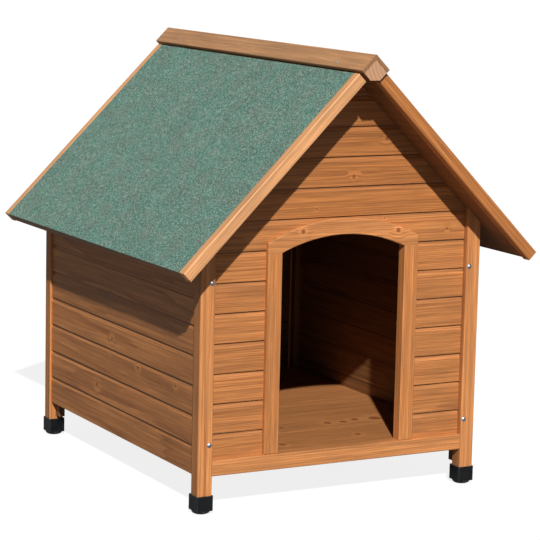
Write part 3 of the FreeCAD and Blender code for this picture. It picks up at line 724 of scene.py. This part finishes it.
class KENNEL_OT_screws(Operator):
    """Model the frame screws and the ridge screws"""
    bl_idname = "kennel.screws"
    bl_label = "Screws"

    def execute(self, context):
        sizes = context.scene.kennel_fittings
        places = []
        for end, side in PLACES:
            low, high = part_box("corner_post_%s_%s" % (end, side))
            x = low[0] + sizes.frame_screw_inset if side == "left" else high[0] - sizes.frame_screw_inset
            y, outward = (low[1], -Y_AXIS) if end == "front" else (high[1], Y_AXIS)
            for z in (sizes.frame_screw_low, sizes.frame_screw_high):
                places.append((Vector((x, y, z)), outward))
        master = domed_screw("frame_screw", sizes.frame_head_radius, sizes.frame_head_height,
                             sizes.frame_shank_radius, sizes.frame_screw_length, sizes.segments)
        self.fit(copies_at(master, "post_screws", places), "frame_screws")

        low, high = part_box("ridge_cap")
        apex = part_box("ridge_beam")[1][2]
        down = (sizes.beam_side - sizes.ridge_screw_edge) * math.sqrt(0.5)
        out = sizes.cap_thickness * math.sqrt(0.5)
        places = []
        for y in (low[1] + sizes.ridge_screw_end, high[1] - sizes.ridge_screw_end):
            for side in (-1, 1):
                seat = Vector((side * (down + out), y, apex - down + out))
                places.append((seat, Vector((side, 0, 1)).normalized()))
        master = domed_screw("ridge_screw", sizes.ridge_head_radius, sizes.ridge_head_height,
                             sizes.ridge_shank_radius, sizes.ridge_screw_length, sizes.segments)
        self.fit(copies_at(master, "cap_screws", places), "ridge_screws")
        return {"FINISHED"}

    def fit(self, piece, node):
        """Let the screws take the place of the node's own."""
        finish(piece, zinc_plate(node))
        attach(piece, "house")
        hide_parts(node)


class KENNEL_OT_feet(Operator):
    """Finish the post caps and model the levelling pads with their threaded stems"""
    bl_idname = "kennel.feet"
    bl_label = "Feet"

    def execute(self, context):
        sizes = context.scene.kennel_fittings
        plastic = black_polypropylene()
        finish_nodes(["foot_cap_%s_%s" % place for place in PLACES], lambda name, number: plastic)
        for end, side in PLACES:
            node = "foot_pad_%s_%s" % (end, side)
            low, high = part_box(node)
            pad = self.pad(node + "_turned", Vector(low), Vector(high), sizes)
            finish(pad, plastic)
            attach(pad, "levelling_pad_%s_%s" % (end, side))
            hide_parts(node)
        return {"FINISHED"}

    def pad(self, name, low, high, sizes):
        """Round pad with a rounded underside and a threaded stem, from the node's box."""
        radius = (high.x - low.x) / 2
        swell = radius - sizes.pad_base
        quarter = [math.radians(degrees) for degrees in (0, 18, 36, 54, 72, 90)]
        profile = [(sizes.pad_base + swell * math.sin(angle), sizes.pad_dish * (1 - math.cos(angle)))
                   for angle in quarter]
        lip, plain_tip = 0.8 * MM, 1.0 * MM
        profile += [(radius, sizes.pad_top - lip), (radius - lip, sizes.pad_top)]
        thread_depth = 0.45 * sizes.stem_pitch
        root = sizes.stem_radius - thread_depth
        profile += [(root, sizes.pad_top)]
        height = sizes.pad_top + sizes.stem_pitch / 2
        while height + sizes.stem_pitch < high.z - plain_tip:
            profile += [(root, height), (sizes.stem_radius, height + sizes.stem_pitch / 2)]
            height += sizes.stem_pitch
        profile += [(root, height), (root * 0.9, high.z)]
        pad = turned(name, profile, sizes.segments)
        pad.location = ((low.x + high.x) / 2, (low.y + high.y) / 2, low.z)
        apply_all(pad)
        smooth(pad, math.radians(32))
        return pad


class KENNEL_OT_stage(Operator):
    """Set up the floor, the lights and the camera"""
    bl_idname = "kennel.stage"
    bl_label = "Stage"

    def execute(self, context):
        studio = context.scene.kennel_studio
        context.scene.view_settings.view_transform = "Standard"
        self.camera(context, studio)
        self.floor(studio)
        self.lights(context, studio)
        return {"FINISHED"}

    def camera(self, context, studio):
        """The photo's camera, as solved from its vanishing lines."""
        forward = Vector((math.sin(studio.yaw) * math.cos(studio.pitch),
                          math.cos(studio.yaw) * math.cos(studio.pitch), -math.sin(studio.pitch)))
        level = Vector((math.cos(studio.yaw), -math.sin(studio.yaw), 0))
        upright = level.cross(forward)
        right = level * math.cos(studio.roll) + upright * math.sin(studio.roll)
        up = upright * math.cos(studio.roll) - level * math.sin(studio.roll)
        data = bpy.data.cameras.new("camera")
        data.lens = studio.lens
        data.sensor_width = 36
        camera = bpy.data.objects.new("camera", data)
        context.collection.objects.link(camera)
        turn = Matrix((right, up, -forward)).transposed().to_4x4()
        camera.matrix_world = Matrix.Translation(Vector(studio.camera)) @ turn
        context.scene.camera = camera

    def floor(self, studio):
        """A paper floor at z = 0. Straight from the camera it is white, and it keeps the shadow.
        It hides what is under it, and so a levelling pad that is screwed down."""
        clear_selection()
        bpy.ops.mesh.primitive_grid_add(x_subdivisions=8, y_subdivisions=8, size=FLOOR_SIZE)
        floor = bpy.context.object
        floor.name = "studio_floor"
        material, tree = new_material("pale_paper")
        place = add(tree, "TexCoord", output="Object")
        fibres = add(tree, "TexNoise", {"Vector": place, "Scale": 3.0, "Detail": 2.0})
        tint = add(tree, "MapRange", {"Value": fibres, "To Min": 0.97, "To Max": 1.0})
        pale = add(tree, "VectorMath", {0: studio.floor, "Scale": tint}, operation="SCALE")
        around = add(tree, "BsdfDiffuse", {"Color": pale})
        seen = add(tree, "BsdfDiffuse", {"Color": opaque([FLOOR_SHADED] * 3)})
        glow = add(tree, "Emission", {"Color": (1, 1, 1, 1), "Strength": FLOOR_GLOW})
        shown = add(tree, "AddShader", {0: seen, 1: glow})
        path = add(tree, "LightPath", output="Is Camera Ray")
        surface = add(tree, "MixShader", {0: path, 1: around, 2: shown})
        add(tree, "OutputMaterial", {"Surface": surface}, output=None)
        finish(floor, material)

    def lights(self, context, studio):
        """A low sun and a white room, which is dimmer to all but the camera's own rays."""
        data = bpy.data.lights.new("key", "SUN")
        data.energy = studio.sun_power
        data.angle = studio.sun_softness
        data.color = SUNLIGHT
        key = bpy.data.objects.new("key", data)
        context.collection.objects.link(key)
        key.rotation_euler = Vector(studio.sun).to_track_quat("-Z", "Y").to_euler()

        world = bpy.data.worlds.new("white_room")
        world.use_nodes = True
        context.scene.world = world
        tree = world.node_tree
        tree.nodes.clear()
        path = add(tree, "LightPath", output=None)
        direct = add(tree, "Math", {0: path["Is Camera Ray"], 1: path["Is Transmission Ray"]},
                     operation="MAXIMUM")
        glossy = add(tree, "MapRange", {"Value": path["Is Glossy Ray"], "To Min": studio.fill,
                                        "To Max": studio.mirrored})
        strength = add(tree, "Mix", {"Factor": direct, "A": glossy, "B": 1.0})
        room = add(tree, "Background", {"Color": (1, 1, 1, 1), "Strength": strength})
        add(tree, "OutputWorld", {"Surface": room}, output=None)


class KENNEL_PT_panel(Panel):
    """Dog house"""
    bl_idname = "KENNEL_PT_panel"
    bl_label = "Dog house"
    bl_space_type = "VIEW_3D"
    bl_region_type = "UI"
    bl_category = "Dog house"

    def draw(self, context):
        for operator in OPERATORS:
            self.layout.operator(operator.bl_idname)
        for group in GROUPS:
            settings = getattr(context.scene, group)
            for name in settings.bl_rna.properties.keys():
                if name not in {"rna_type", "name"}:
                    self.layout.prop(settings, name)


GROUPS = {
    "kennel_timber": KennelTimber,
    "kennel_roof": KennelRoof,
    "kennel_fittings": KennelFittings,
    "kennel_studio": KennelStudio,
}
OPERATORS = (
    KENNEL_OT_stage,
    KENNEL_OT_frame_timber,
    KENNEL_OT_weatherboards,
    KENNEL_OT_floor_timber,
    KENNEL_OT_roof,
    KENNEL_OT_ridge,
    KENNEL_OT_screws,
    KENNEL_OT_feet,
)


def register():
    for cls in (*GROUPS.values(), *OPERATORS, KENNEL_PT_panel):
        bpy.utils.register_class(cls)
    for name, cls in GROUPS.items():
        setattr(bpy.types.Scene, name, PointerProperty(type=cls))


def unregister():
    for name in GROUPS:
        delattr(bpy.types.Scene, name)
    for cls in (KENNEL_PT_panel, *reversed(OPERATORS), *reversed(list(GROUPS.values()))):
        bpy.utils.unregister_class(cls)


def main():
    register()
    bpy.ops.kennel.stage()
    bpy.ops.kennel.frame_timber()
    bpy.ops.kennel.weatherboards()
    bpy.ops.kennel.floor_timber()
    bpy.ops.kennel.roof()
    bpy.ops.kennel.ridge()
    bpy.ops.kennel.screws()
    bpy.ops.kennel.feet()


if __name__ == "__main__":
    main()
